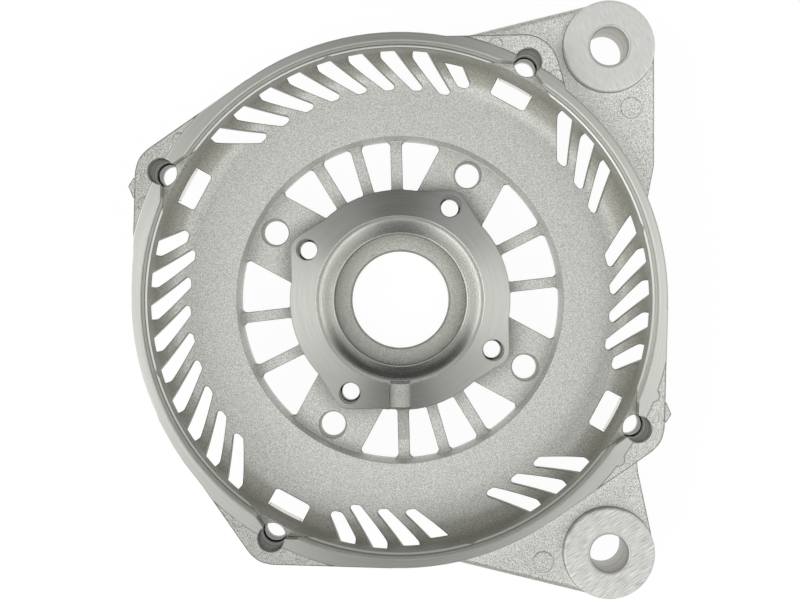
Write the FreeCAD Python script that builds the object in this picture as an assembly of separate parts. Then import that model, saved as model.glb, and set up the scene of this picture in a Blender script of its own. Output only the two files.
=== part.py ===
import FreeCAD, Part
import math
import os

os.makedirs("parts", exist_ok=True)

# Cast aluminium end frame of an alternator. Millimetres, degrees.
# Z is the shaft axis. The open side, with the stator register, faces +Z.
# Z = 0 is the shoulder that the shaft bearing stands on, and the two mounting ears lie on the +X side.

# Heights
rim_z = 36.0
ledge_z = 30.0
floor_z = 14.0
disc_z = 9.0
disc_low_z = 3.6
hub_low_z = 0.0
lip_z = -3.5
nose_low_z = -6.0

# How far a shape runs past the face that it cuts or joins
past = 1.0

# Drum: a cup with a rounded corner between floor and wall
wall_r = 82.1
wall_t = 4.2
floor_t = 4.1
corner_r = 9.5
rim_edge = 0.25

# Register that centres the stator, and the ledge that the stator stands on
register_r = wall_r - 2.7
ledge_in_r = register_r - 0.5
ledge_bevel = 0.7
register_bevel = 0.35

# Step from the slotted floor down to the vent disc
step_r = 52.2
step_foot_r = step_r - 1.0
step_wall = 3.6
step_wall_bevel = 1.5

# Hub with the bearing seat
plate_r = 35.2
bearing_r = 26.0
bearing_bevel = 0.9
shoulder_in_r = bearing_r - 4.1
# Narrow recess under the shoulder's edge
recess_r = shoulder_in_r - 0.2
recess_edge_r = shoulder_in_r + 0.1
recess_edge_z = hub_low_z - 0.3
shaft_r = 15.9
lip_round = 0.5
nose_r = bearing_r + 1.0
nose_bevel = 1.0
key_w = 7.0
key_depth = 1.5
key_overrun = 3.0
key_end_bevel = (0.7, 1.6)

# Directions of the four through bolts
bolt_angles = [61.6, 151.6, 241.6, 331.6]

# Screw holes of the bearing's retainer, in lobes of the hub plate
retainer_r = plate_r - 1.4
retainer_hole_r = 3.35
retainer_low_hole_r = 2.85
retainer_step_z = 5.0
lobe_r = 5.2
lobe_side = 60.0
lobe_run = 14.0

# Round holes in the four wide webs of the vent disc
web_hole_at = step_r - 6.55
web_hole_r = 4.4
web_hole_low_r = 3.85

# Vents of the disc between the webs and the spokes
vent_out_r = step_foot_r
web_half = 11.8
vent_round_out = 1.5
vent_round_in = 1.2
# Each quarter: middle direction, then its spokes as (direction from the middle, width)
vent_quarters = [
    (16.6, [(-10.0, 3.35), (10.0, 3.35)]),
    (106.6, [(-15.1, 3.7), (-0.1, 3.5), (15.1, 3.7)]),
    (196.6, [(-10.0, 3.35), (10.0, 3.35)]),
    (286.6, [(-15.1, 3.7), (-0.1, 3.5), (15.1, 3.7)]),
]

# Slanted cooling slots round the corner of the drum
slot_pitch = 7.5
slot_in_x = wall_r - 15.4
slot_stop_x = wall_r - 11.7
slot_top_z = 24.0
slot_out_r = wall_r + 0.5
slot_tail_x = wall_r + 8.0
slot_tail_rise = 0.5
slot_low_z = 2.0
slot_blind_r = wall_r - 1.6
blind_slots = [4, 5, 6, 40, 41, 42]
slot_in_round = 1.25
slot_stop_round = 1.6
slot_bend_round = 1.8
# Sides of a slot that points along +X
slot_low_y = -8.6
slot_low_bend = (wall_r - 2.5, 2.1)
slot_high_y = -4.1
slot_high_bend = (wall_r - 5.5, 6.15)
full_slots = [0, 1, 5, 6, 11, 12, 13, 14, 15, 16, 17, 18, 23, 24, 25, 26, 27, 28, 29, 30, 35, 41, 42, 47]
# Slots that stop short: position, inner end, top, shift of the low side's bend, shift of the high side's bend
short_slots = [
    (2, slot_in_x, 20.4, 0.0, 1.1),
    (4, slot_in_x, 21.2, 1.0, 0.0),
    (10, slot_stop_x, 18.2, 0.0, 0.0),
    (22, slot_stop_x, 23.0, 0.0, 0.0),
    (34, slot_stop_x, 23.0, 0.0, 0.0),
    (46, slot_stop_x, 23.0, 0.0, 0.0),
    (36, slot_in_x, 20.6, 0.0, 0.0),
    (37, slot_in_x, 17.9, 0.0, 0.0),
    (40, slot_in_x, 23.4, 0.5, 0.0),
]

# Through bolts: holes, bosses outside the drum, and the pocket beside each hole
bolt_at = wall_r + 0.9
bolt_r = 4.05
bolt_low_r = 3.6
bolt_step_z = 15.0
boss_at = wall_r - 2.1
boss_r = 10.7
boss_z = 35.7
boss_low_z = 22.0
column_r = 7.8
column_low_z = 5.0
column_round = 0.8
# Each boss: radius of its nose, then the directions of its two sides. They are tangent to the drum, except on the
# first boss, which is wider.
boss_tangent = math.degrees(math.acos((wall_r - boss_r) / boss_at))
boss_forms = [(boss_r + 0.2, 46.2, 29.6)] + 3 * [(boss_r, boss_tangent, boss_tangent)]
pocket_z = 29.8
pocket_half = 64.0
pocket_overrun = 2.0
window_in_r = wall_r - 10.7
window_half = 6.2
window_round = 1.1
window_high_z = floor_z + corner_r - 4.5

# Round marks that the casting die's pins leave
pin_at = wall_r + 1.4
pin_turn = 7.75
pin_turns = [(-6.6, pin_turn)] + 3 * [(-pin_turn, pin_turn)]
pin_r = 2.1
pin_rise = 0.15
wide_pin_r = 3.25
# Distance outside the wall, direction
wide_pins = [(11.71, 39.68), (11.12, -61.34)]
# The rim's machined face runs out over each boss, and on one boss it was cut deep enough to take in the pin marks
land_rs = [wall_r + 1.0, wall_r + 1.75, wall_r + 1.75, wall_r + 1.5]
deep_bolt = 331.6
deep_pin_at = wall_r + 0.8
deep_pin_r = 1.9

# Small casting lug on the side of two bosses: distance outside the wall, distance beside the boss's middle
nub_bolts = [151.6, 331.6]
nub_outline = [(2.4, 9.5), (4.4, 4.5), (7.7, 5.8), (7.9, 8.8), (4.9, 11.2)]
nub_low_z = 27.0
nub_high_z = 34.0

# The drum's wall is a little thicker beside one boss: direction, distance outside the wall
pad_outline = [
    (203.5, -0.3),
    (206.5, 0.3),
    (213.0, 0.45),
    (216.9, 0.55),
    (226.3, 1.4),
    (226.3, -0.3),
    (214.0, -0.8),
]

# Mounting ears and the plates that carry them
ear_x = wall_r - 17.0
ear_y = wall_r - 3.3
ear_r = 14.2
ear_z = 28.0
upper_ear_low_z = 7.1
lower_ear_low_z = 4.5
ear_edge = 0.35
ear_bore_r = 5.95
ear_bore_edge = 0.45
web_z = 25.3
web_low_z = 15.5
web_edge = 1.9
# The plate's far side leaves the ear in this direction and runs back into the drum
web_side_turn = 103.75
web_side_run = 50.0
# Corners of the plates' near sides, back to the drum: distance outside the wall, direction
upper_web_side = [(7.68, 27.96), (1.69, 22.53), (-5.44, 15.12)]
lower_web_turn = -11.3
lower_web_side = [(9.58, -35.86), (1.14, -28.72)]
rib_w = 7.0
rib_low_z = 9.0
# The ribs start where the short slots beside them end
rib_from = slot_blind_r


def at(radius, degrees, z=0.0):
    angle = math.radians(degrees)
    return FreeCAD.Vector(radius * math.cos(angle), radius * math.sin(angle), z)


def cylinder(x, y, radius, low, high):
    return Part.makeCylinder(radius, high - low, FreeCAD.Vector(x, y, low))


def polygon_prism(points, low, high):
    corners = [FreeCAD.Vector(x, y, low) for x, y in points]
    wire = Part.makePolygon(corners + corners[:1])
    return Part.Face(wire).extrude(FreeCAD.Vector(0, 0, high - low))


def extruded(edges, low, high):
    return Part.Face(Part.Wire(edges)).extrude(FreeCAD.Vector(0, 0, high - low))


def turned(edges):
    face = Part.Face(Part.Wire(edges))
    return face.revolve(FreeCAD.Vector(0, 0, 0), FreeCAD.Vector(0, 0, 1), 360)


def chain(points):
    # Straight edges through (radius, height) points in the XZ plane
    corners = [FreeCAD.Vector(r, 0, z) for r, z in points]
    return [Part.makeLine(a, b) for a, b in zip(corners, corners[1:])]


def corner_arc(radius, centre_r, centre_z):
    # Quarter circle from the wall at +R down to the floor
    middle = math.sqrt(0.5) * radius
    return Part.Arc(
        FreeCAD.Vector(centre_r + radius, 0, centre_z),
        FreeCAD.Vector(centre_r + middle, 0, centre_z - middle),
        FreeCAD.Vector(centre_r, 0, centre_z - radius),
    ).toShape()


def upright_edges(shape, test):
    found = []
    for edge in shape.Edges:
        if len(edge.Vertexes) != 2:
            continue
        a, b = [v.Point for v in edge.Vertexes]
        if (a - b).Length > 1 and abs(a.x - b.x) < 1e-6 and abs(a.y - b.y) < 1e-6 and test(a):
            found.append(edge)
    return found


def boss_block(form, low, high):
    # Rounded nose at +X, with a straight side each way that runs back into the drum
    nose_round, low_side, high_side = form
    nose_centre = FreeCAD.Vector(boss_at, 0, low)
    low_touch = nose_centre + at(nose_round, -low_side)
    high_touch = nose_centre + at(nose_round, high_side)
    run = boss_at * math.sin(math.radians(boss_tangent))
    low_end = low_touch + at(run, -low_side - 90)
    high_end = high_touch + at(run, high_side + 90)
    edges = [
        Part.makeLine(low_end, low_touch),
        Part.Arc(low_touch, nose_centre + at(nose_round, 0), high_touch).toShape(),
        Part.makeLine(high_touch, high_end),
        Part.makeLine(high_end, low_end),
    ]
    return extruded(edges, low, high)


def boss_pin(centre_r, degrees, radius, high):
    p = at(centre_r, degrees)
    return cylinder(p.x, p.y, radius, boss_z - past, high)


def turn(shape, degrees):
    copy = shape.copy()
    copy.rotate(FreeCAD.Vector(0, 0, 0), FreeCAD.Vector(0, 0, 1), degrees)
    return copy


# Drum as a solid bowl, before it is hollowed
wall_in_r = wall_r - wall_t
corner_at_r = wall_in_r - corner_r
corner_at_z = floor_z + corner_r
outer_corner_r = wall_r - corner_at_r
drum_low_z = corner_at_z - outer_corner_r
step_out_r = step_r + step_wall
drum_edges = chain([
    (0, disc_low_z),
    (0, rim_z),
    (wall_r - rim_edge, rim_z),
    (wall_r, rim_z - rim_edge),
    (wall_r, corner_at_z),
])
drum_edges.append(corner_arc(outer_corner_r, corner_at_r, corner_at_z))
drum_edges += chain([
    (corner_at_r, drum_low_z),
    (step_out_r, floor_z - floor_t),
    (step_out_r - step_wall_bevel, disc_low_z),
    (0, disc_low_z),
])
body = turned(drum_edges)

# Bosses of the through bolts, with the columns below them
outer = []
for bolt, form, pin_pair, land_r in zip(bolt_angles, boss_forms, pin_turns, land_rs):
    boss = boss_block(form, boss_low_z, boss_z)
    column = cylinder(bolt_at, 0, column_r, column_low_z, boss_z)
    foot = [e for e in column.Edges if abs(e.CenterOfMass.z - column_low_z) < 1e-6 and len(e.Vertexes) == 1]
    column = column.makeChamfer(column_round, foot)
    land = cylinder(0, 0, land_r, boss_z - past, rim_z)
    if bolt == deep_bolt:
        land = land.multiFuse([boss_pin(deep_pin_at, t, deep_pin_r, rim_z) for t in pin_pair])
        marks = []
    else:
        marks = [boss_pin(pin_at, t, pin_r, boss_z + pin_rise) for t in pin_pair]
    marks.append(land.common(boss_block(form, boss_low_z, rim_z)))
    if bolt in nub_bolts:
        nub = [(wall_r + out, beside) for out, beside in nub_outline]
        marks.append(polygon_prism(nub, nub_low_z, nub_high_z))
    outer.append(turn(boss.multiFuse([column] + marks), bolt))
pad = [at(wall_r + out, turn_a) for turn_a, out in pad_outline]
outer.append(polygon_prism([(p.x, p.y) for p in pad], boss_low_z, rim_z))

# Mounting ears on their plates
for sign in (1, -1):
    centre = FreeCAD.Vector(ear_x, sign * ear_y, 0)
    far_touch = centre + at(ear_r, sign * web_side_turn)
    run = at(web_side_run, sign * (web_side_turn + 90))
    far_end = far_touch + run
    near_turn, near_side = (0.0, upper_web_side) if sign > 0 else (-lower_web_turn, lower_web_side)
    near_points = [at(wall_r + out, direction) for out, direction in near_side]
    outline = [far_end, far_touch, centre, centre + at(ear_r, near_turn)] + near_points
    plate = polygon_prism([(p.x, p.y) for p in outline], web_low_z, web_z)
    top_edges = [e for e in plate.Edges if abs(e.CenterOfMass.z - web_z) < 1e-6]
    far_edge = [e for e in top_edges if abs(e.Length - web_side_run) < 1e-6]
    plate = plate.makeFillet(web_edge, far_edge)
    ear = cylinder(ear_x, sign * ear_y, ear_r, upper_ear_low_z if sign > 0 else lower_ear_low_z, ear_z)
    rings = [e for e in ear.Edges if len(e.Vertexes) == 1]
    ear = ear.makeChamfer(ear_edge, rings)
    reach = math.hypot(ear_x, ear_y)
    rib_foot = FreeCAD.Vector(rib_from, -rib_w / 2, rib_low_z)
    rib = Part.makeBox(reach, rib_w, web_low_z - rib_low_z + past, rib_foot)
    rib = rib.common(cylinder(0, 0, reach, rib_low_z, web_z))
    rib = turn(rib, sign * math.degrees(math.atan2(ear_y, ear_x)))
    outer += [plate, ear, rib]
for out, direction in wide_pins:
    p = at(wall_r + out, direction)
    outer.append(cylinder(p.x, p.y, wide_pin_r, web_z - past, web_z + pin_rise))
body = body.multiFuse(outer)

# Inside of the drum: register, ledge, wall, rounded corner and floor, with the trough of the vent disc
cavity_edges = chain([
    (0, floor_z),
    (0, rim_z + past),
    (register_r + register_bevel + past, rim_z + past),
    (register_r + register_bevel, rim_z),
    (register_r, rim_z - register_bevel),
    (register_r, ledge_z),
    (ledge_in_r, ledge_z),
    (ledge_in_r - ledge_bevel, ledge_z - ledge_bevel),
    (wall_in_r, corner_at_z),
])
cavity_edges.append(corner_arc(corner_r, corner_at_r, corner_at_z))
cavity_edges += chain([(corner_at_r, floor_z), (0, floor_z)])
trough_edges = chain([
    (0, disc_z),
    (0, floor_z + past),
    (step_r, floor_z + past),
    (step_r, floor_z),
    (step_foot_r, disc_z),
    (0, disc_z),
])
body = body.cut([turned(cavity_edges), turned(trough_edges)])

# Vents of the disc
cuts = []
for middle, spokes in vent_quarters:
    turns = [(-45.0, 2 * web_half)] + spokes + [(45.0, 2 * web_half)]
    for (turn_a, width_a), (turn_b, width_b) in zip(turns, turns[1:]):
        low, high = disc_low_z - past, disc_z + past
        ring = cylinder(0, 0, vent_out_r, low, high).cut(cylinder(0, 0, plate_r, low, high))
        side_a, side_b = at(slot_tail_x, turn_a), at(slot_tail_x, turn_b)
        wedge = polygon_prism([(0, 0), (side_a.x, side_a.y), (side_b.x, side_b.y)], low, high)
        bars = [
            turn(Part.makeBox(slot_tail_x, width, high - low, FreeCAD.Vector(0, -width / 2, low)), t)
            for t, width in ((turn_a, width_a), (turn_b, width_b))
        ]
        vent = ring.common(wedge).cut(bars)
        split_r = (vent_out_r + plate_r) / 2
        vent = vent.makeFillet(vent_round_out, upright_edges(vent, lambda p: math.hypot(p.x, p.y) > split_r))
        vent = vent.makeFillet(vent_round_in, upright_edges(vent, lambda p: math.hypot(p.x, p.y) < split_r))
        cuts.append(turn(vent, middle))
body = body.cut(cuts)

# Hub: plate with four lobes, and the nose below it
hub = [cylinder(0, 0, plate_r, hub_low_z, floor_z)]
for bolt in bolt_angles:
    side_x = retainer_r + lobe_r * math.sin(math.radians(lobe_side))
    side_y = lobe_r * math.cos(math.radians(lobe_side))
    back_x = side_x - lobe_run * math.cos(math.radians(lobe_side))
    back_y = side_y + lobe_run * math.sin(math.radians(lobe_side))
    lobe_outline = [(back_x, -back_y), (side_x, -side_y), (side_x, side_y), (back_x, back_y)]
    hub.append(turn(polygon_prism(lobe_outline, hub_low_z, floor_z), bolt))
    p = at(retainer_r, bolt)
    hub.append(cylinder(p.x, p.y, lobe_r, hub_low_z, floor_z))
nose = cylinder(0, 0, nose_r, nose_low_z, hub_low_z + past)
nose_foot = [e for e in nose.Edges if len(e.Vertexes) == 1 and abs(e.CenterOfMass.z - nose_low_z) < 1e-6]
hub.append(nose.makeChamfer(nose_bevel, nose_foot))
body = body.multiFuse(hub)

# Bearing seat, shoulder, lip and the hole for the shaft
seat_edges = chain([
    (0, nose_low_z - past),
    (shaft_r, nose_low_z - past),
    (shaft_r, lip_z - lip_round),
    (shaft_r + lip_round, lip_z),
    (recess_r, lip_z),
    (recess_r, recess_edge_z),
    (recess_edge_r, hub_low_z),
    (bearing_r, hub_low_z),
    (bearing_r, floor_z - bearing_bevel),
    (bearing_r + bearing_bevel, floor_z),
    (bearing_r + bearing_bevel, floor_z + past),
    (0, floor_z + past),
    (0, nose_low_z - past),
])
body = body.cut(turned(seat_edges))
cuts = []

# Groove across the hub plate
key_z = floor_z - key_depth
key_out, key_down = key_end_bevel
key_section = [
    FreeCAD.Vector(-key_w / 2, -bearing_r + key_overrun, key_z),
    FreeCAD.Vector(-key_w / 2, -plate_r + key_out, key_z),
    FreeCAD.Vector(-key_w / 2, -plate_r - key_out, key_z - 2 * key_down),
    FreeCAD.Vector(-key_w / 2, -plate_r - key_out, floor_z + past),
    FreeCAD.Vector(-key_w / 2, -bearing_r + key_overrun, floor_z + past),
]
key_face = Part.Face(Part.makePolygon(key_section + key_section[:1]))
cuts.append(key_face.extrude(FreeCAD.Vector(key_w, 0, 0)))

# Holes on the four bolt directions
for bolt in bolt_angles:
    p = at(retainer_r, bolt)
    cuts.append(cylinder(p.x, p.y, retainer_hole_r, retainer_step_z, floor_z + past))
    cuts.append(cylinder(p.x, p.y, retainer_low_hole_r, hub_low_z - past, retainer_step_z + past))
    p = at(web_hole_at, bolt, disc_low_z)
    cuts.append(Part.makeCone(web_hole_low_r, web_hole_r, disc_z - disc_low_z, p))
    p = at(bolt_at, bolt)
    cuts.append(cylinder(p.x, p.y, bolt_r, bolt_step_z, rim_z + past))
    cuts.append(cylinder(p.x, p.y, bolt_low_r, column_low_z - past, bolt_step_z + past))
    pocket_x = bolt_at - wall_in_r + pocket_overrun
    pocket_y = pocket_x * math.tan(math.radians(pocket_half))
    pocket = [(bolt_at, 0), (bolt_at - pocket_x, pocket_y), (bolt_at - pocket_x, -pocket_y)]
    cuts.append(turn(polygon_prism(pocket, pocket_z, rim_z + past), bolt))
    window_low_z = column_low_z - past
    window_foot = FreeCAD.Vector(window_in_r, -window_half, window_low_z)
    window = Part.makeBox(wall_r - window_in_r, 2 * window_half, window_high_z - window_low_z, window_foot)
    window = window.common(cylinder(0, 0, wall_in_r, window_low_z - past, window_high_z + past))
    window = window.makeFillet(window_round, upright_edges(window, lambda p: True))
    cuts.append(turn(window, bolt))

# Bores of the ears, with a broken edge
for sign in (1, -1):
    cuts.append(cylinder(ear_x, sign * ear_y, ear_bore_r, lower_ear_low_z - past, ear_z + past))
    edge_foot = FreeCAD.Vector(ear_x, sign * ear_y, ear_z - ear_bore_edge)
    cuts.append(Part.makeCone(ear_bore_r, ear_bore_r + 2 * ear_bore_edge, 2 * ear_bore_edge, edge_foot))
body = body.cut(cuts)

# Cooling slots
slots = [(n, slot_in_x, slot_top_z, 0.0, 0.0) for n in full_slots] + short_slots
cuts = []
for n, inner_x, top, low_shift, high_shift in slots:
    low_slope = (slot_low_bend[1] - slot_low_y) / (slot_low_bend[0] - slot_in_x)
    high_slope = (slot_high_bend[1] - slot_high_y) / (slot_high_bend[0] - slot_in_x)
    shift = inner_x - slot_in_x
    points = [
        (inner_x, slot_low_y + shift * low_slope),
        (slot_low_bend[0], slot_low_bend[1] + low_shift),
        (slot_tail_x, slot_low_bend[1] + low_shift + slot_tail_rise),
        (slot_tail_x, slot_high_bend[1] + high_shift),
        (slot_high_bend[0] + 0.6 * high_shift, slot_high_bend[1] + high_shift),
        (inner_x, slot_high_y + shift * high_slope + high_shift),
    ]
    slot = polygon_prism(points, slot_low_z, top)
    in_round = slot_in_round if inner_x == slot_in_x else slot_stop_round
    middle_x = (inner_x + slot_high_bend[0]) / 2
    slot = slot.makeFillet(in_round, upright_edges(slot, lambda p: p.x < middle_x))
    slot = slot.makeFillet(slot_bend_round, upright_edges(slot, lambda p: middle_x < p.x < wall_r))
    out_r = slot_blind_r if n in blind_slots else slot_out_r
    slot = slot.common(cylinder(0, 0, out_r, slot_low_z - past, top + past))
    cuts.append(turn(slot, n * slot_pitch))
body = body.cut(cuts)

solid = body.Solids[0]
print("solids", len(body.Solids), "valid", solid.isValid(), "volume", round(solid.Volume))
solid.exportStep("parts/end_frame.step")
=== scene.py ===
import math

import bpy
from mathutils import Matrix, Vector


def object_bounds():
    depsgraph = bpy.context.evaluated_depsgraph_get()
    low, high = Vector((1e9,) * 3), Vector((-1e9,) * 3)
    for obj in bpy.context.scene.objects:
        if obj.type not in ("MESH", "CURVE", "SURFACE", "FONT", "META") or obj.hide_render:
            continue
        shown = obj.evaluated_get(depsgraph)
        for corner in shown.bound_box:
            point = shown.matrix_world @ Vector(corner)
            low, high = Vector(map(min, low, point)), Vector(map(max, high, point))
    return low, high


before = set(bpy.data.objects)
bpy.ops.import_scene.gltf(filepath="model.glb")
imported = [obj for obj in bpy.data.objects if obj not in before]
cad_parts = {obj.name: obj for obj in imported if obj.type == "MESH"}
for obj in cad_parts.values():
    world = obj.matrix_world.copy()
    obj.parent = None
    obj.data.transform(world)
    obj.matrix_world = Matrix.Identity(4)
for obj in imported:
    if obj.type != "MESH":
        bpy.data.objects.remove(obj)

cad_box = [list(corner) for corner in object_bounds()]

# Casting
# One piece of die-cast aluminium, shot-blasted after casting. The rim, the stator register, the hub plate
# and the bearing seat are turned in one set-up, the ears are faced in the same one, and the round holes are
# drilled.
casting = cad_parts["end_frame"]


def put(tree, value, socket):
    if isinstance(value, bpy.types.NodeSocket):
        tree.links.new(value, socket)
    else:
        socket.default_value = value


def calc(tree, operation, a, b=None, c=None):
    node = tree.nodes.new("ShaderNodeMath")
    node.operation = operation
    for value, socket in zip((a, b, c), node.inputs):
        if value is not None:
            put(tree, value, socket)
    return node.outputs[0]


def over(tree, value, limit):
    return calc(tree, "GREATER_THAN", value, limit)


def under(tree, value, limit):
    return calc(tree, "LESS_THAN", value, limit)


def between(tree, value, low, high):
    return calc(tree, "COMPARE", value, (low + high) / 2, (high - low) / 2)


def both(tree, a, b):
    return calc(tree, "MULTIPLY", a, b)


def either(tree, a, b):
    return calc(tree, "MAXIMUM", a, b)


def not_in(tree, mask):
    return calc(tree, "SUBTRACT", 1.0, mask)


def towards(tree, a, b, direction):
    return calc(tree, "ADD", both(tree, a, math.cos(direction)), both(tree, b, math.sin(direction)))


def near_point(tree, a, b, point, reach):
    away_a = calc(tree, "SUBTRACT", a, point[0])
    away_b = calc(tree, "SUBTRACT", b, point[1])
    square = calc(tree, "ADD", both(tree, away_a, away_a), both(tree, away_b, away_b))
    return under(tree, square, reach * reach)


def ramp(tree, value, low, high, ease="LINEAR", to_low=0.0, to_high=1.0):
    node = tree.nodes.new("ShaderNodeMapRange")
    node.interpolation_type = ease
    put(tree, value, node.inputs["Value"])
    put(tree, low, node.inputs["From Min"])
    put(tree, high, node.inputs["From Max"])
    node.inputs["To Min"].default_value = to_low
    node.inputs["To Max"].default_value = to_high
    return node.outputs[0]


def blend_values(tree, factor, a, b):
    node = tree.nodes.new("ShaderNodeMix")
    put(tree, factor, node.inputs["Factor"])
    put(tree, a, node.inputs["A"])
    put(tree, b, node.inputs["B"])
    return node.outputs["Result"]


def blend_colours(tree, factor, a, b, way="MIX"):
    node = tree.nodes.new("ShaderNodeMix")
    node.data_type = "RGBA"
    node.blend_type = way
    put(tree, factor, node.inputs["Factor"])
    put(tree, a, node.inputs[6])
    put(tree, b, node.inputs[7])
    return node.outputs[2]


def noise(tree, vector, scale, detail, dimensions="3D", rough=0.5):
    node = tree.nodes.new("ShaderNodeTexNoise")
    node.noise_dimensions = dimensions
    put(tree, vector, node.inputs["W" if dimensions == "1D" else "Vector"])
    node.inputs["Scale"].default_value = scale
    node.inputs["Detail"].default_value = detail
    node.inputs["Roughness"].default_value = rough
    return node.outputs["Fac"]


def new_group(name, inputs):
    tree = bpy.data.node_groups.new(name, "ShaderNodeTree")
    for label, kind in inputs.items():
        tree.interface.new_socket(label, in_out="INPUT", socket_type=kind)
    return tree, tree.nodes.new("NodeGroupInput").outputs


def put_out(tree, results):
    for label in results:
        tree.interface.new_socket(label, in_out="OUTPUT", socket_type="NodeSocketFloat")
    end = tree.nodes.new("NodeGroupOutput")
    for label, value in results.items():
        tree.links.new(value, end.inputs[label])


def use_group(tree, group, values):
    node = tree.nodes.new("ShaderNodeGroup")
    node.node_tree = group
    for label, value in values.items():
        put(tree, value, node.inputs[label])
    return node.outputs


# Where the cutting tools went, read from the place on the casting. Sizes are in millimetres, from the shaft
# axis and from the shoulder under the bearing, and a pair of them holds the limits on both sides of a face.
zones, start = new_group("Machined places", {"Position": "NodeSocketVector", "Facing": "NodeSocketVector"})
place = zones.nodes.new("ShaderNodeVectorMath")
place.operation = "SCALE"
place.inputs["Scale"].default_value = 1000.0
zones.links.new(start["Position"], place.inputs[0])
split = zones.nodes.new("ShaderNodeSeparateXYZ")
zones.links.new(place.outputs[0], split.inputs[0])
x, y, z = split.outputs
facing = zones.nodes.new("ShaderNodeSeparateXYZ")
zones.links.new(start["Facing"], facing.inputs[0])
up = facing.outputs[2]
level_enough = 0.5
facing_up = over(zones, up, level_enough)
facing_down = under(zones, up, -level_enough)
radius = calc(zones, "SQRT", calc(zones, "ADD", both(zones, x, x), both(zones, y, y)))
angle = calc(zones, "ARCTAN2", y, x)
# Quarter of the casting that belongs to each through bolt, folded onto the bolt's own direction
first_bolt = math.radians(61.6)
bolt_at = (83.0, 0.0)
quarter = math.radians(90)
turned_back = calc(zones, "SUBTRACT", angle, first_bolt - quarter / 2 - 2 * quarter)
folded = calc(zones, "SUBTRACT", calc(zones, "FLOORED_MODULO", turned_back, quarter), quarter / 2)
along = both(zones, radius, calc(zones, "COSINE", folded))
across = both(zones, radius, calc(zones, "SINE", folded))

# The rim's face lies above the bosses and their pin marks, and has a bevel inside. The cut that faced it ran
# a hair deeper towards the fourth bolt, where it took in the pin marks too.
rim_low_z = 35.88
cut_slant = 0.0008
fourth_bolt = first_bolt + 3 * quarter
deeper = both(zones, towards(zones, x, y, fourth_bolt), cut_slant)
cut_low_z = calc(zones, "SUBTRACT", rim_low_z, deeper)
bevel_low_z = 35.73
bevel_outer_r = 82.12
rim_bevel = both(zones, over(zones, z, bevel_low_z), under(zones, radius, bevel_outer_r))
rim_face = either(zones, over(zones, z, cut_low_z), rim_bevel)
# A pocket interrupts the register beside each bolt hole, as wide as its slanted sides let it be
pocket_slant = math.radians(64)
pocket_half = both(zones, calc(zones, "SUBTRACT", bolt_at[0], along), math.tan(pocket_slant))
in_pocket = under(zones, calc(zones, "ABSOLUTE", across), pocket_half)
ledge_z = (29.25, 30.05)
ledge_r = (78.05, 79.6)
ledge = both(zones, between(zones, z, *ledge_z), not_in(zones, in_pocket))
ledge = both(zones, ledge, between(zones, radius, *ledge_r))
register_z = (ledge_z[1], 36.5)
register_r = (ledge_r[0], 79.85)
register_wall = both(zones, between(zones, z, *register_z), between(zones, radius, *register_r))
register = either(zones, ledge, register_wall)
# A painted highlight lies on the bevel at the ledge's inner edge, with a fine line of painted shade on each
# side of it. The register's upper edge has a painted highlight too, and a band of painted shade runs round
# its wall.
bevel_r = (78.38, 78.78)
upper_edge_r = (79.42, 79.7)
upper_edge_low_z = 35.7
upper_edge_share = 0.45
upper_edge = both(zones, between(zones, radius, *upper_edge_r), over(zones, z, upper_edge_low_z))
painted_highlight_cut = both(zones, ledge, between(zones, radius, *bevel_r))
painted_highlight_cut = either(zones, painted_highlight_cut, both(zones, upper_edge, upper_edge_share))
outer_line_r = (78.9, 79.25)
inner_line_outer_r = 78.32
band_z = (33.4, 34.6)
painted_shade_line = both(zones, register, between(zones, radius, *outer_line_r))
painted_shade_line = either(zones, painted_shade_line, both(zones, ledge, under(zones, radius, inner_line_outer_r)))
painted_shade_line = either(zones, painted_shade_line, both(zones, register, between(zones, z, *band_z)))
# All of these painted highlights and shade lines are crisp over the upper half of the register and faint over
# the lower half
crispest = math.radians(115)
fading = (-0.5, 0.1)
faintest = 0.3
from_crispest = calc(zones, "COSINE", calc(zones, "SUBTRACT", angle, crispest))
crisp = ramp(zones, from_crispest, *fading, to_low=faintest)

# Face of the hub plate, groove across it, seat of the bearing and lip below the seat
plate_z = (12.9, 14.3)
plate_outer_r = 45.0
plate = both(zones, between(zones, z, *plate_z), under(zones, radius, plate_outer_r))
plate = both(zones, plate, facing_up)
groove_half = 4.2
groove_y = (-45.0, -26.0)
groove_z = (5.0, plate_z[0])
key_groove = both(zones, between(zones, x, -groove_half, groove_half), between(zones, y, *groove_y))
key_groove = both(zones, key_groove, between(zones, z, *groove_z))
seat_z = (-0.4, plate_z[1])
seat_r = (21.6, 27.0)
seat = both(zones, between(zones, z, *seat_z), between(zones, radius, *seat_r))
lip_outer_r = 21.75
lip_high_z = 0.1
lip = both(zones, under(zones, radius, lip_outer_r), under(zones, z, lip_high_z))
turned = either(zones, either(zones, rim_face, register), either(zones, plate, seat))

# Ears, faced above and below, and the drilled holes of ears, bolts and screws
ears_inner_r = 86.5
ear_top_z = (27.55, 28.3)
ear_foot_high_z = 7.4
at_ears = over(zones, radius, ears_inner_r)
ear_top = both(zones, both(zones, between(zones, z, *ear_top_z), at_ears), facing_up)
ear_foot = both(zones, both(zones, under(zones, z, ear_foot_high_z), at_ears), facing_down)
ear_at = (65.1, 78.8)
ear_bore_r = 6.0
bolt_bore_r = 4.12
screw_at = (33.8, 0.0)
screw_bore_r = 3.42
off_middle = calc(zones, "ABSOLUTE", y)
ear_bore = near_point(zones, x, off_middle, ear_at, ear_bore_r)
bolt_bore = near_point(zones, along, across, bolt_at, bolt_bore_r)
screw_bore = near_point(zones, along, across, screw_at, screw_bore_r)
drilled = either(zones, ear_bore, either(zones, bolt_bore, screw_bore))
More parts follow.
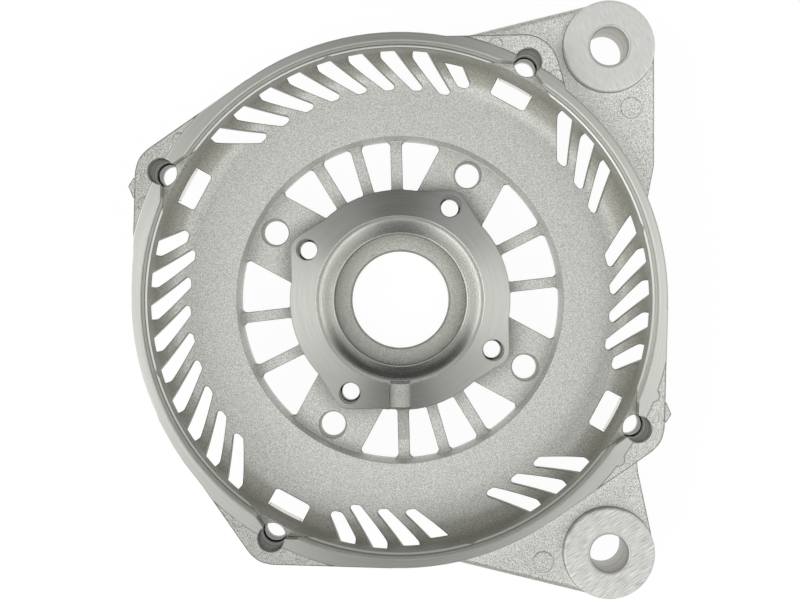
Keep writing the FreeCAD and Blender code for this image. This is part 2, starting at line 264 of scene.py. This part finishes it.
# A countersink broke the edge of each ear bore. Its band is painted as a painted highlight, and a fine line
# of painted shade ends it on the ear's face.
sink_r = 6.55
sink_line_r = 6.72
sink_low_z = 27.5
within_sink = near_point(zones, x, off_middle, ear_at, sink_r)
sink_line = both(zones, near_point(zones, x, off_middle, ear_at, sink_line_r), not_in(zones, within_sink))
sink = both(zones, both(zones, within_sink, over(zones, z, sink_low_z)), not_in(zones, ear_bore))

# A line of painted shade runs round the hub plate and the rim's outer edge. On the left the rim has it over
# the bosses alone, and there it is a painted highlight instead.
left = math.radians(172)
left_limit = 0.72
left_side = over(zones, calc(zones, "COSINE", calc(zones, "SUBTRACT", angle, left)), left_limit)
over_boss_inner_r = 82.6
over_boss = over(zones, radius, over_boss_inner_r)
rim_edge_low_z = 35.0
rim_edge_inner_r = 81.6
rim_edge = both(zones, over(zones, z, rim_edge_low_z), over(zones, radius, rim_edge_inner_r))
rim_edge = both(zones, rim_edge, either(zones, not_in(zones, left_side), over_boss))
plate_rim_inner_r = 27.4
plate_rim = both(zones, plate, over(zones, radius, plate_rim_inner_r))

# Parts of the cast skin. Steep sides kept the smooth drawn skin of the die, and are painted darker, partly
# for that skin and partly as painted shade on the walls. The sides of the windows and the step down to the
# vent disc are left out of this darkening and out of most of the painted shade in the corners.
outside_r = 81.0
outside = over(zones, radius, outside_r)
boss_low_z = 34.0
boss_inner_r = 82.2
boss_top = both(zones, over(zones, z, boss_low_z), over(zones, radius, boss_inner_r))
rim_zone_low_z = 25.0
steep_up = (0.99, 0.84)
steep = ramp(zones, calc(zones, "ABSOLUTE", up), *steep_up, "SMOOTHSTEP")
window_side_r = (77.0, 79.0)
window_high_z = 19.1
window_half = 6.25
window_side = both(zones, between(zones, radius, *window_side_r), under(zones, z, window_high_z))
window_side = both(zones, window_side, between(zones, across, -window_half, window_half))
step_r = (50.9, 52.4)
step_side = between(zones, radius, *step_r)
unshaded_sides = either(zones, window_side, step_side)
# The skin and the drilled holes are darker towards the side across the drum from the upper ear
upper_ear_way = math.radians(38.6)
far_side_reach = 85.0
towards_upper_ear = towards(zones, x, y, upper_ear_way)
# Part of the wall and of its round corner, towards the lower right where they face away from the light, is
# painted darker: painted shade
corner_lee = math.radians(328)
wall_lee = math.radians(278)
corner_to_wall_r = (74.0, 78.0)
corner_start_r = (62.0, 70.0)
lee = ramp(zones, radius, *corner_to_wall_r, to_low=corner_lee, to_high=wall_lee)
away_from_light = either(zones, calc(zones, "COSINE", calc(zones, "SUBTRACT", angle, lee)), 0.0)
corner_on = ramp(zones, radius, *corner_start_r, "SMOOTHSTEP")
inner_wall = both(zones, corner_on, under(zones, radius, outside_r))

put_out(zones, {
    "Turned": calc(zones, "MINIMUM", turned, not_in(zones, drilled)),
    "Faced": either(zones, ear_top, ear_foot),
    "Drilled": drilled,
    "Steep": both(zones, steep, not_in(zones, unshaded_sides)),
    "Outside": outside,
    "Far side": ramp(zones, towards_upper_ear, far_side_reach, -far_side_reach),
    "Open": either(zones, unshaded_sides, outside),
    "Step": step_side,
    "Lip": lip,
    "Seat": seat,
    "Rim": over(zones, z, rim_zone_low_z),
    "Painted highlight cut": both(zones, painted_highlight_cut, crisp),
    "Painted shade line": both(zones, painted_shade_line, crisp),
    "Ear bore": ear_bore,
    "Painted edge": either(zones, plate_rim, rim_edge),
    "Highlight edge": both(zones, left_side, over_boss),
    "Boss top": boss_top,
    "Window side": window_side,
    "Painted wall shade": both(zones, away_from_light, inner_wall),
    "Key groove": key_groove,
    "Sink highlight": sink,
    "Sink shade line": both(zones, sink_line, ear_top),
    "Radius": radius,
    "Angle": angle,
    "Height": z,
})

# Skin that the shot leaves: fine pits over a slightly uneven casting. The noise is given in cells to the
# metre, and lies aslant, because it is flat where a face runs along the sides of its cells.
blasted, start = new_group("Blasted skin", {"Position": "NodeSocketVector"})
fine_cells = 4500.0
coarse_cells = 1400.0
patch_cells = 55.0
fine_share = 0.93
patch_height = 0.8
pit_limits = (0.47, 0.30)
aslant = blasted.nodes.new("ShaderNodeMapping")
aslant.inputs["Rotation"].default_value = (0.6, 0.4, 0.3)
blasted.links.new(start["Position"], aslant.inputs["Vector"])
where = aslant.outputs[0]
fine = noise(blasted, where, fine_cells, 0.0)
coarse = noise(blasted, where, coarse_cells, 1.0, rough=0.6)
patches = noise(blasted, where, patch_cells, 3.0, rough=0.55)
grain = calc(blasted, "ADD", both(blasted, fine, fine_share), both(blasted, coarse, 1.0 - fine_share))
put_out(blasted, {
    "Grain": grain,
    "Pits": ramp(blasted, grain, *pit_limits),
    "Relief": calc(blasted, "ADD", grain, both(blasted, patches, patch_height)),
})

# Marks of the tools: rings and smears that turning leaves round the shaft axis, scratches of the milling
# cutter, and lines round the inside of the drilled holes
rings, start = new_group("Turning marks", {
    "Radius": "NodeSocketFloat", "Height": "NodeSocketFloat", "Angle": "NodeSocketFloat",
    "Position": "NodeSocketVector",
})
ring_lines = 3.2
height_share = 0.83
smear_feed = 1.6
smear_turn = 2.2
feed = calc(rings, "ADD", start["Radius"], both(rings, start["Height"], height_share))
wrapped = rings.nodes.new("ShaderNodeCombineXYZ")
rings.links.new(both(rings, feed, smear_feed), wrapped.inputs[0])
rings.links.new(both(rings, calc(rings, "COSINE", start["Angle"]), smear_turn), wrapped.inputs[1])
rings.links.new(both(rings, calc(rings, "SINE", start["Angle"]), smear_turn), wrapped.inputs[2])
# The cutter crossed each ear face in one straight pass, and left short fine scratches along it
lower_pass = math.radians(33)
upper_pass = math.radians(-62)
cells_ahead = 240.0
cells_aside = 5200.0
spot = rings.nodes.new("ShaderNodeSeparateXYZ")
rings.links.new(start["Position"], spot.inputs[0])
spot_x = spot.outputs[0]
spot_y = spot.outputs[1]
upper_ear = over(rings, spot_y, 0.0)
pass_angle = blend_values(rings, upper_ear, lower_pass, upper_pass)
pass_x = calc(rings, "COSINE", pass_angle)
pass_y = calc(rings, "SINE", pass_angle)
ahead = calc(rings, "ADD", both(rings, spot_x, pass_x), both(rings, spot_y, pass_y))
aside = calc(rings, "SUBTRACT", both(rings, spot_y, pass_x), both(rings, spot_x, pass_y))
drawn = rings.nodes.new("ShaderNodeCombineXYZ")
rings.links.new(both(rings, ahead, cells_ahead), drawn.inputs[0])
rings.links.new(both(rings, aside, cells_aside), drawn.inputs[1])
scratch = noise(rings, drawn.outputs[0], 1.0, 1.0, rough=0.6)
lower_limits = (0.36, 0.62)
upper_limits = (-0.10, 0.65)
scratch_low = blend_values(rings, upper_ear, lower_limits[0], upper_limits[0])
scratch_high = blend_values(rings, upper_ear, lower_limits[1], upper_limits[1])
# The drill left its lines round the holes, close together and partly run into each other
radius_share = 0.35
hole_lines = 0.42
hole_limits = (0.455, 0.53)
hole_feed = calc(rings, "ADD", start["Height"], both(rings, start["Radius"], radius_share))
turns = noise(rings, hole_feed, hole_lines, 2.0, "1D", 0.7)
put_out(rings, {
    "Ring": noise(rings, feed, ring_lines, 3.0, "1D", 0.7),
    "Smear": noise(rings, wrapped.outputs[0], 1.0, 3.0, rough=0.6),
    "Milled": ramp(rings, scratch, scratch_low, scratch_high),
    "Thread": ramp(rings, turns, *hole_limits),
})


def rounded_normal(tree, width, samples):
    node = tree.nodes.new("ShaderNodeBevel")
    node.samples = samples
    put(tree, width, node.inputs["Radius"])
    return node.outputs[0]


def line_at_edges(tree, rounded, full_at):
    alike = tree.nodes.new("ShaderNodeVectorMath")
    alike.operation = "DOT_PRODUCT"
    tree.links.new(rounded, alike.inputs[0])
    tree.links.new(tree.nodes.new("ShaderNodeNewGeometry").outputs["Normal"], alike.inputs[1])
    none_at = 0.995
    return ramp(tree, alike.outputs["Value"], none_at, full_at, "SMOOTHSTEP")


def bumped_normal(tree, height, strength, distance, normal):
    node = tree.nodes.new("ShaderNodeBump")
    node.inputs["Strength"].default_value = strength
    node.inputs["Distance"].default_value = distance
    tree.links.new(height, node.inputs["Height"])
    tree.links.new(normal, node.inputs["Normal"])
    return node.outputs[0]


# Lengths in the material are in metres
metal = bpy.data.materials.new("Cast and machined aluminium")
metal.use_nodes = True
tree = metal.node_tree
tree.nodes.clear()
position = tree.nodes.new("ShaderNodeTexCoord").outputs
where = position["Object"]
zone = use_group(tree, zones, {"Position": where, "Facing": position["Normal"]})
skin = use_group(tree, blasted, {"Position": where})
mark = use_group(tree, rings, {
    "Radius": zone["Radius"], "Height": zone["Height"], "Angle": zone["Angle"], "Position": where,
})

# Cast skin: even inside the drum, dark specks on a bright ground outside
cast_dark = (0.49, 0.495, 0.465, 1.0)
cast_light = (0.84, 0.845, 0.81, 1.0)
outer_dark = (0.50, 0.505, 0.48, 1.0)
outer_light = (0.99, 0.995, 0.96, 1.0)
pit_tint = (0.74, 0.74, 0.715, 1.0)
far_tint = (0.68, 0.68, 0.67, 1.0)
boss_tint = (0.93, 0.93, 0.92, 1.0)
drawn_skin_and_shade_tint = (0.70, 0.69, 0.655, 1.0)
lip_shade_tint = (0.93, 0.93, 0.91, 1.0)
groove_tint = (0.76, 0.76, 0.74, 1.0)
wall_shade_tint = (0.80, 0.80, 0.785, 1.0)
window_side_painted_light = (0.95, 0.94, 0.90, 1.0)
inner_limits = (0.41, 0.59)
outer_limits = (0.40, 0.54)
cast_colour = blend_colours(tree, ramp(tree, skin["Grain"], *inner_limits), cast_dark, cast_light)
outer_colour = blend_colours(tree, ramp(tree, skin["Grain"], *outer_limits), outer_dark, outer_light)
outer_colour = blend_colours(tree, skin["Pits"], outer_colour, pit_tint, "MULTIPLY")
outer_colour = blend_colours(tree, zone["Far side"], outer_colour, far_tint, "MULTIPLY")
outer_colour = blend_colours(tree, zone["Boss top"], outer_colour, boss_tint, "MULTIPLY")
cast_colour = blend_colours(tree, zone["Outside"], cast_colour, outer_colour)
# Steep sides painted darker: drawn skin and painted shade
cast_colour = blend_colours(tree, zone["Steep"], cast_colour, drawn_skin_and_shade_tint, "MULTIPLY")
# The lip under the bearing seat is painted darker: painted shade from the seat's wall
cast_colour = blend_colours(tree, zone["Lip"], cast_colour, lip_shade_tint, "MULTIPLY")
cast_colour = blend_colours(tree, zone["Key groove"], cast_colour, groove_tint, "MULTIPLY")
# Painted shade on the part of the drum's wall and corner that faces away from the light
cast_colour = blend_colours(tree, zone["Painted wall shade"], cast_colour, wall_shade_tint, "MULTIPLY")
# The sides of the windows are painted nearly white: painted light over the shade they lie in
cast_colour = blend_colours(tree, zone["Window side"], cast_colour, window_side_painted_light)
# The inner corners are painted darker, partly dirt and partly painted shade. Outside, the foot of each step
# is painted lighter, a painted light over the shadow that the step casts.
nook_dirt_and_shade_tint = (0.46, 0.455, 0.43, 1.0)
step_foot_painted_light = (1.0, 1.0, 0.97, 1.0)
painted_light_share = 0.8
open_share = 0.1
nook_reach = 0.006
nooks = tree.nodes.new("ShaderNodeAmbientOcclusion")
nooks.samples = 8
nooks.inputs["Distance"].default_value = nook_reach
nook = not_in(tree, nooks.outputs["AO"])
painted_light_at_steps = both(tree, both(tree, nook, zone["Outside"]), painted_light_share)
cast_colour = blend_colours(tree, painted_light_at_steps, cast_colour, step_foot_painted_light)
dirt_and_shade = both(tree, nook, blend_values(tree, zone["Open"], 1.0, open_share))
cast_colour = blend_colours(tree, dirt_and_shade, cast_colour, nook_dirt_and_shade_tint, "MULTIPLY")
# Each edge is a little round, and a thin line of painted shade runs along it, weaker along the step down to
# the vent disc
edge_shade_tint = (0.24, 0.24, 0.215, 1.0)
inner_edge_r = 0.0005
outer_edge_r = 0.0008
skin_edge_full = 0.89
step_share = 0.4
skin_edge_r = blend_values(tree, zone["Outside"], inner_edge_r, outer_edge_r)
skin_edge = rounded_normal(tree, skin_edge_r, 8)
edge_share = blend_values(tree, zone["Step"], 1.0, step_share)
painted_edge_shade = both(tree, line_at_edges(tree, skin_edge, skin_edge_full), edge_share)
cast_colour = blend_colours(tree, painted_edge_shade, cast_colour, edge_shade_tint, "MULTIPLY")

# Faced ears and drilled holes
faced_dark = (0.48, 0.48, 0.455, 1.0)
faced_colour = (0.83, 0.83, 0.80, 1.0)
sink_shade_line_colour = (0.42, 0.415, 0.385, 1.0)
sink_highlight_colour = (0.70, 0.695, 0.655, 1.0)
drilled_dark = (0.085, 0.082, 0.069, 1.0)
drilled_colour = (0.56, 0.55, 0.50, 1.0)
bore_dark = (0.36, 0.353, 0.32, 1.0)
drilled_far_tint = (0.62, 0.62, 0.605, 1.0)
faced_pattern = blend_colours(tree, mark["Milled"], faced_dark, faced_colour)
skin_colour = blend_colours(tree, zone["Faced"], cast_colour, faced_pattern)
# Painted shade line and painted highlight of the countersink
skin_colour = blend_colours(tree, zone["Sink shade line"], skin_colour, sink_shade_line_colour)
skin_colour = blend_colours(tree, zone["Sink highlight"], skin_colour, sink_highlight_colour)
drilled_pattern = blend_colours(tree, zone["Ear bore"], drilled_dark, bore_dark)
drilled_pattern = blend_colours(tree, mark["Thread"], drilled_pattern, drilled_colour)
drilled_pattern = blend_colours(tree, zone["Far side"], drilled_pattern, drilled_far_tint, "MULTIPLY")
skin_colour = blend_colours(tree, zone["Drilled"], skin_colour, drilled_pattern)
cast_rough = 0.6
faced_rough = 0.55
drilled_rough = 0.42
skin_rough = blend_values(tree, zone["Faced"], cast_rough, faced_rough)
skin_rough = blend_values(tree, zone["Drilled"], skin_rough, drilled_rough)
machined = either(tree, zone["Faced"], zone["Drilled"])
skin_relief = blend_values(tree, machined, skin["Relief"], mark["Ring"])
grain_depth = 0.00012
skin_normal = bumped_normal(tree, skin_relief, 0.5, grain_depth, skin_edge)
skin_shader = tree.nodes.new("ShaderNodeBsdfPrincipled")
tree.links.new(skin_colour, skin_shader.inputs["Base Color"])
tree.links.new(skin_rough, skin_shader.inputs["Roughness"])
tree.links.new(skin_normal, skin_shader.inputs["Normal"])
skin_shader.inputs["Metallic"].default_value = 1.0

# Turned faces, whose rings stretch each reflection across them
turned_dark = (0.51, 0.517, 0.475, 1.0)
turned_light = (0.68, 0.685, 0.645, 1.0)
seat_colour = (0.74, 0.747, 0.705, 1.0)
painted_shade_line_colour = (0.30, 0.30, 0.285, 1.0)
painted_highlight_cut_colour = (0.98, 0.98, 0.96, 1.0)
turned_colour = blend_colours(tree, mark["Smear"], turned_dark, turned_light)
turned_colour = blend_colours(tree, zone["Seat"], turned_colour, seat_colour)
# Painted shade lines and painted highlights on the register
turned_colour = blend_colours(tree, zone["Painted shade line"], turned_colour, painted_shade_line_colour)
turned_colour = blend_colours(tree, zone["Painted highlight cut"], turned_colour, painted_highlight_cut_colour)
line_r = 0.0006
line_full = 0.93
# Painted shade along the edges of the hub plate and the rim, and a painted highlight over the left bosses
edge_line = line_at_edges(tree, rounded_normal(tree, line_r, 6), line_full)
painted_edge_mask = both(tree, edge_line, zone["Painted edge"])
painted_edge_colour = blend_colours(tree, zone["Highlight edge"], painted_shade_line_colour, painted_highlight_cut_colour)
turned_colour = blend_colours(tree, painted_edge_mask, turned_colour, painted_edge_colour)
plate_rough = 0.28
rim_rough = 0.42
seat_rough = 0.22
turned_rough = blend_values(tree, zone["Rim"], plate_rough, rim_rough)
turned_rough = blend_values(tree, zone["Seat"], turned_rough, seat_rough)
turned_edge_r = 0.00025
turned_edge = rounded_normal(tree, turned_edge_r, 6)
ring_depth = 0.00004
turned_normal = bumped_normal(tree, mark["Ring"], 0.25, ring_depth, turned_edge)
around = tree.nodes.new("ShaderNodeTangent")
around.direction_type = "RADIAL"
around.axis = "Z"
turned_shader = tree.nodes.new("ShaderNodeBsdfPrincipled")
tree.links.new(turned_colour, turned_shader.inputs["Base Color"])
tree.links.new(turned_rough, turned_shader.inputs["Roughness"])
tree.links.new(turned_normal, turned_shader.inputs["Normal"])
tree.links.new(around.outputs[0], turned_shader.inputs["Tangent"])
turned_shader.inputs["Metallic"].default_value = 1.0
turned_shader.inputs["Anisotropic"].default_value = 0.9
turned_shader.inputs["Anisotropic Rotation"].default_value = 0.25

mixed = tree.nodes.new("ShaderNodeMixShader")
tree.links.new(zone["Turned"], mixed.inputs[0])
tree.links.new(skin_shader.outputs[0], mixed.inputs[1])
tree.links.new(turned_shader.outputs[0], mixed.inputs[2])
surface = tree.nodes.new("ShaderNodeOutputMaterial")
tree.links.new(mixed.outputs[0], surface.inputs["Surface"])
casting.material_slots[0].material = metal

# Floor
# A plain pale board under the frame, which stands on its nose. What the camera and the metal see of it is
# nearly its own white, and the rest keeps the frame's shadow.
floor_z = cad_box[0][2]
floor_half = 3.0
floor_corners = [
    (-floor_half, -floor_half, floor_z), (floor_half, -floor_half, floor_z),
    (floor_half, floor_half, floor_z), (-floor_half, floor_half, floor_z),
]
floor_mesh = bpy.data.meshes.new("floor")
floor_mesh.from_pydata(floor_corners, [], [(0, 1, 2, 3)])
floor = bpy.data.objects.new("floor", floor_mesh)
bpy.context.scene.collection.objects.link(floor)
board = bpy.data.materials.new("White board")
board.use_nodes = True
tree = board.node_tree
tree.nodes.clear()
path = tree.nodes.new("ShaderNodeLightPath").outputs
seen = either(tree, path["Is Glossy Ray"], path["Is Transmission Ray"])
seen = either(tree, seen, path["Is Camera Ray"])
own_white_share = 0.9
paint = tree.nodes.new("ShaderNodeBsdfPrincipled")
paint.inputs["Base Color"].default_value = (0.8, 0.8, 0.8, 1.0)
paint.inputs["Roughness"].default_value = 0.8
paint.inputs["Specular IOR Level"].default_value = 0.1
glow = tree.nodes.new("ShaderNodeEmission")
glow.inputs["Color"].default_value = (1.0, 1.0, 1.0, 1.0)
glow.inputs["Strength"].default_value = 1.04
shown = tree.nodes.new("ShaderNodeMixShader")
tree.links.new(both(tree, seen, own_white_share), shown.inputs[0])
tree.links.new(paint.outputs[0], shown.inputs[1])
tree.links.new(glow.outputs[0], shown.inputs[2])
tree.links.new(shown.outputs[0], tree.nodes.new("ShaderNodeOutputMaterial").inputs["Surface"])
floor_mesh.materials.append(board)

# Studio
# A dim tent that the camera sees as plain white. Two soft boxes light the metal from the left and the
# right, a little to the front, and a smaller one from the front. Overhead, where the camera stands, the
# tent is dark.
soft_box, start = new_group("Soft box", {
    "Direction": "NodeSocketFloat", "Tilt": "NodeSocketFloat", "Middle": "NodeSocketFloat",
    "Half width": "NodeSocketFloat", "Upper edge": "NodeSocketFloat", "Lower edge": "NodeSocketFloat",
})
# Degrees on each side of an edge over which the light fades
feather = 12.0
upper_feather = 3.0


def faded(tree, value, edge, reach):
    dark_at = calc(tree, "ADD", edge, reach)
    bright_at = calc(tree, "SUBTRACT", edge, reach)
    return ramp(tree, value, dark_at, bright_at, "SMOOTHSTEP")


turn = calc(soft_box, "SUBTRACT", start["Direction"], start["Middle"])
off_centre = calc(soft_box, "ABSOLUTE", calc(soft_box, "WRAP", turn, 180.0, -180.0))
in_width = faded(soft_box, off_centre, start["Half width"], feather)
above_foot = faded(soft_box, start["Tilt"], start["Lower edge"], feather)
below_top = faded(soft_box, start["Tilt"], start["Upper edge"], -upper_feather)
put_out(soft_box, {"Light": both(soft_box, in_width, both(soft_box, below_top, above_foot))})

world = bpy.data.worlds.new("Studio")
bpy.context.scene.world = world
world.use_nodes = True
tree = world.node_tree
tree.nodes.clear()
split = tree.nodes.new("ShaderNodeSeparateXYZ")
tree.links.new(tree.nodes.new("ShaderNodeTexCoord").outputs["Generated"], split.inputs[0])
compass = calc(tree, "DEGREES", calc(tree, "ARCTAN2", split.outputs[1], split.outputs[0]))
tilt = calc(tree, "DEGREES", calc(tree, "ARCCOSINE", split.outputs[2]))
tent_dark_tilt = 18.0
tent_full_tilt = 75.0
tent_level = 0.85
level = ramp(tree, tilt, tent_dark_tilt, tent_full_tilt, to_high=tent_level)
# Middle direction, half width, upper and lower edge as tilt from overhead, and brightness
for middle, half_width, upper_edge, lower_edge, brightness in (
    (-22.0, 47.0, 8.0, 52.0, 1.42),
    (201.0, 45.0, 8.0, 62.0, 1.68),
    (270.0, 24.0, 17.0, 34.0, 0.7),
):
    box = use_group(tree, soft_box, {
        "Direction": compass, "Tilt": tilt, "Middle": middle,
        "Half width": half_width, "Upper edge": upper_edge, "Lower edge": lower_edge,
    })
    level = calc(tree, "ADD", level, both(tree, box["Light"], brightness))
camera_ray = tree.nodes.new("ShaderNodeLightPath").outputs["Is Camera Ray"]
level = blend_values(tree, camera_ray, level, 1.0)
sky = tree.nodes.new("ShaderNodeBackground")
tree.links.new(level, sky.inputs["Color"])
tree.links.new(sky.outputs[0], tree.nodes.new("ShaderNodeOutputWorld").inputs["Surface"])
bpy.context.scene.view_settings.view_transform = "Standard"

# Camera
# It looks straight down into the drum from 0.51 m above the rim, as the photograph does, turned by a few
# tenths of a degree. A metre at the rim's height takes rim_scale pixels of the photograph.
rim_z = cad_box[1][2]
camera_height = 0.5104
rim_scale = 3269.105
picture_width = 800
shift_pixels = Vector((0.43, 0.25, 0.0))
turn_x = Matrix.Rotation(math.radians(0.282), 3, "X")
turn_y = Matrix.Rotation(math.radians(-0.402), 3, "Y")
turn_z = Matrix.Rotation(math.radians(0.045), 3, "Z")
aim = (turn_x @ turn_y @ turn_z).transposed()
lens = bpy.data.cameras.new("camera")
lens.sensor_width = 36.0
lens.lens = rim_scale * camera_height / picture_width * lens.sensor_width
lens.clip_start = 0.01
camera = bpy.data.objects.new("camera", lens)
stand = aim @ (Vector((0, 0, camera_height)) + shift_pixels / rim_scale) + Vector((0, 0, rim_z))
camera.matrix_world = Matrix.Translation(stand) @ aim.to_4x4()
bpy.context.scene.collection.objects.link(camera)
bpy.context.scene.camera = camera
